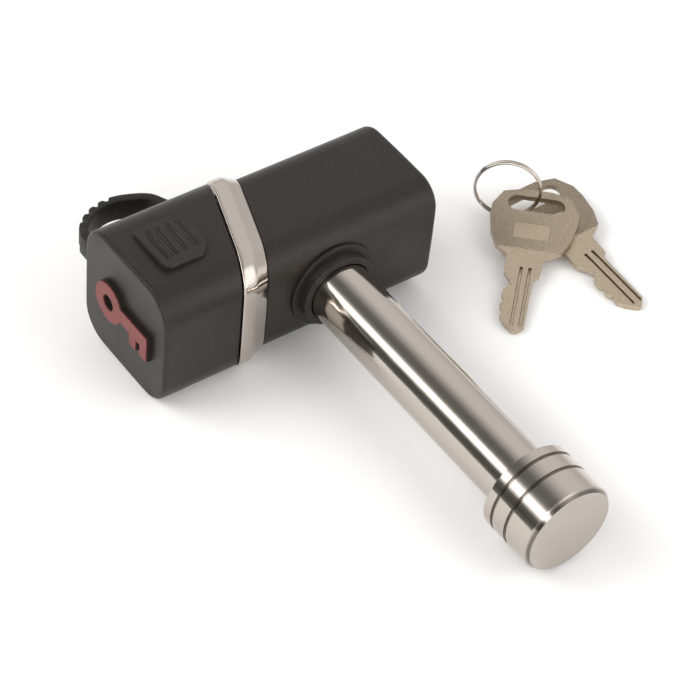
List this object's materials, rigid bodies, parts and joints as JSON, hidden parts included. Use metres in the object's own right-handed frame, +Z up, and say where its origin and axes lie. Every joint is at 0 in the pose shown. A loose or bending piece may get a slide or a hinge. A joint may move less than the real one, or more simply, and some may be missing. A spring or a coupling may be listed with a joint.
{
  "type": "hitch pin lock",
  "caption": "Trailer hitch pin with a square locking head across its end, hinged dust cap, keyed cam latch and two keys on a split ring.",
  "frame": {"origin": "on the pin's axis at the front face of the collar", "axes": "the pin points along -Y, the head lies along X with its dust cap at -X, +Z is up"},
  "size_m": [0.1287, 0.1371, 0.0364],
  "materials": {
    "black_plastic": "matte moulded grain",
    "black_rubber": "matte",
    "red_inlay": "matte",
    "chrome": "polished",
    "zinc": "as cast",
    "steel": "zinc plated",
    "brass": "machined",
    "nylon": "moulded",
    "nickel_key": "nickel plated, knurled bow"
  },
  "bodies": {
    "housing": {"main_jacket": "black_plastic", "chrome_band": "chrome", "core_front": "zinc", "core_back": "zinc", "core_screws": "steel", "cylinder_barrel": "brass", "barrel_pin": "steel", "bezel": "chrome", "pin_collar": "black_rubber", "bore_o_ring": "black_rubber", "cap_gasket": "black_rubber", "strap_screw": "steel"},
    "bush": {"pin_bush": "nylon"},
    "pin": {"pin_shank": "chrome", "pin_knob": "chrome"},
    "latch": {"latch_yoke": "steel"},
    "plug": {"cylinder_plug": "brass", "cam_tail": "zinc", "cam_screw": "steel", "wafer_spring_1": "steel", "wafer_spring_2": "steel", "wafer_spring_3": "steel", "wafer_spring_4": "steel", "wafer_spring_5": "steel"},
    "cap": {"dust_cap": "black_plastic", "cap_grip_pad": "black_plastic", "badge_plinth": "black_plastic", "badge_inlay": "red_inlay", "strap_pin": "steel", "tether_strap": "black_rubber"},
    "ring": {"split_ring": "steel"},
    "key_one": {"key_a": "nickel_key"},
    "key_two": {"key_b": "nickel_key"},
    "wafer_1_body": {"wafer_1": "brass"},
    "wafer_2_body": {"wafer_2": "brass"},
    "wafer_3_body": {"wafer_3": "brass"},
    "wafer_4_body": {"wafer_4": "brass"},
    "wafer_5_body": {"wafer_5": "brass"}
  },
  "joints": [
    {"name": "pin_spin", "type": "hinge", "parent": "housing", "child": "bush", "pos_m": [0, 0.01, 0], "axis": [0, -1, 0], "continuous": true},
    {"name": "pin_withdraw", "type": "slide", "parent": "bush", "child": "pin", "axis": [0, -1, 0], "range_m": [0, 0.085]},
    {"name": "plug_turn", "type": "hinge", "parent": "housing", "child": "plug", "pos_m": [-0.02, 0.019, 0], "axis": [1, 0, 0], "range_deg": [0, 90]},
    {"name": "latch_slide", "type": "slide", "parent": "housing", "child": "latch", "axis": [0, 0, 1], "range_m": [0, 0.00425]},
    {"name": "cap_swing", "type": "hinge", "parent": "housing", "child": "cap", "pos_m": [-0.0145, 0.039, 0], "axis": [0, 0, 1], "range_deg": [-110, 0], "deforming": ["tether_strap"]},
    {"name": "keys_lift", "type": "slide", "parent": "housing", "child": "ring", "axis": [0, 0.0587, 0.9983], "range_m": [0, 0.06]},
    {"name": "wafer_1_drop", "type": "slide", "parent": "plug", "child": "wafer_1_body", "axis": [0, 0, -1], "range_m": [0, 0.0008], "deforming": ["wafer_spring_1"]},
    {"name": "wafer_2_drop", "type": "slide", "parent": "plug", "child": "wafer_2_body", "axis": [0, 0, -1], "range_m": [0, 0.0008], "deforming": ["wafer_spring_2"]},
    {"name": "wafer_3_drop", "type": "slide", "parent": "plug", "child": "wafer_3_body", "axis": [0, 0, -1], "range_m": [0, 0.0008], "deforming": ["wafer_spring_3"]},
    {"name": "wafer_4_drop", "type": "slide", "parent": "plug", "child": "wafer_4_body", "axis": [0, 0, -1], "range_m": [0, 0.0008], "deforming": ["wafer_spring_4"]},
    {"name": "wafer_5_drop", "type": "slide", "parent": "plug", "child": "wafer_5_body", "axis": [0, 0, -1], "range_m": [0, 0.0008], "deforming": ["wafer_spring_5"]},
    {"name": "key_one_swing", "type": "hinge", "parent": "ring", "child": "key_one", "pos_m": [0.06721, 0.00987, -0.012], "axis": [-0.0702, -0.0123, 0.9975], "range_deg": [-4, 6]},
    {"name": "key_two_swing", "type": "hinge", "parent": "ring", "child": "key_two", "pos_m": [0.06531, 0.01005, -0.01372], "axis": [-0.0696, -0.0117, 0.9975], "range_deg": [-6, 2]}
  ],
  "couplings": [
    {"joint": "latch_slide", "follows": "plug_turn", "m_per_rad": 0.0027}
  ]
}
